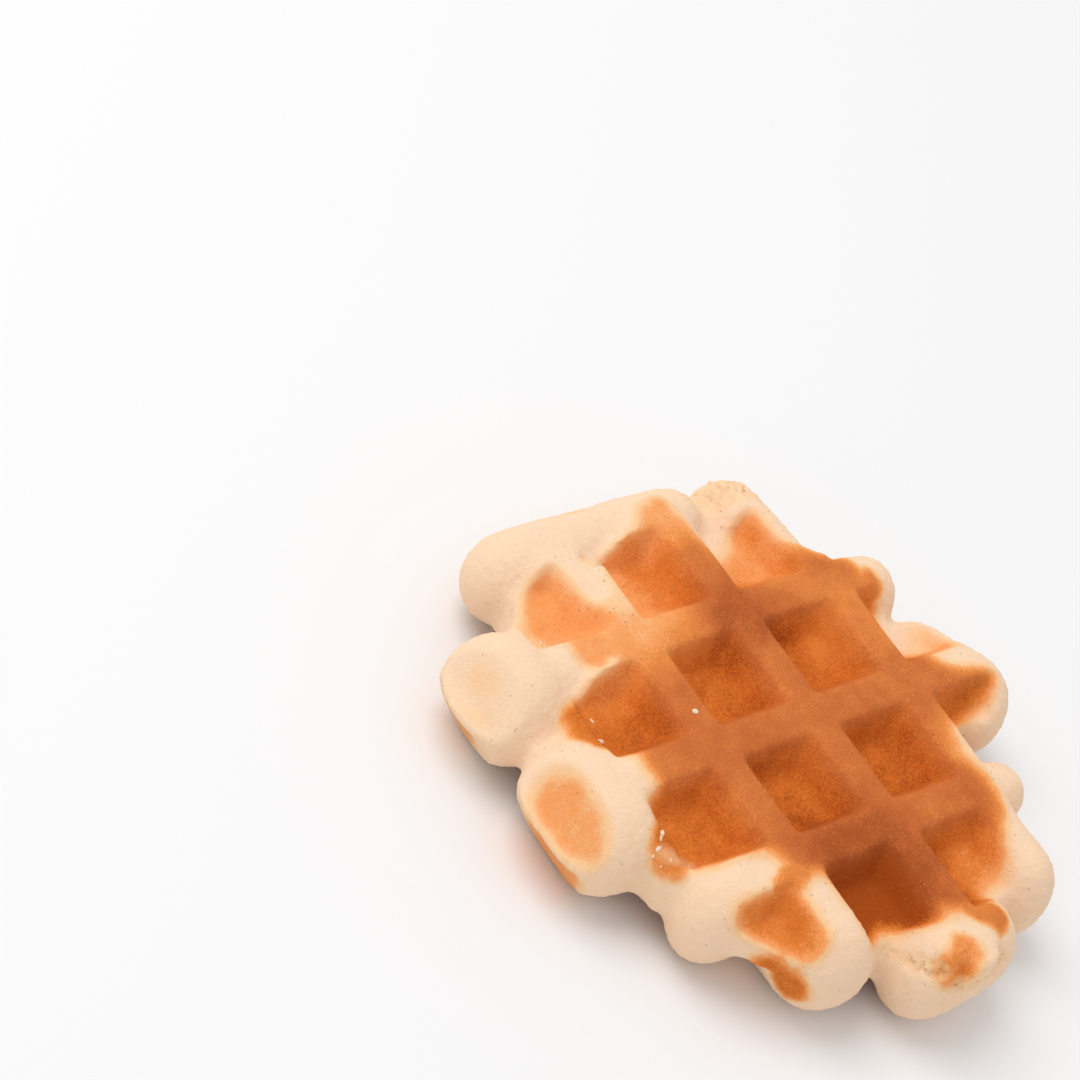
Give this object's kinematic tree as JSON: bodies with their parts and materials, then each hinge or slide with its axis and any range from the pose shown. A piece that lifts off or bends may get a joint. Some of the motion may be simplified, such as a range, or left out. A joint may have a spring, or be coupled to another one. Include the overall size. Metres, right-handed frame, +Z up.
{
  "type": "belgian waffle",
  "caption": "Thick Belgian waffle lying flat, square pits pressed into both sides, browned inside and pale at its round uneven lobes.",
  "frame": {"origin": "middle of the underside's bounding rectangle, at the height of what the waffle lies on", "axes": "+Z up, away from the table; the straight ribs run along X and Y, and the widest lobes are towards -X"},
  "size_m": [0.1016, 0.1028, 0.02],
  "materials": {
    "crust": "matt baked dough, caramel brown where the plates pressed it and pale cream on its round edges"
  },
  "bodies": {
    "root": {"waffle": "crust"}
  },
  "joints": []
}
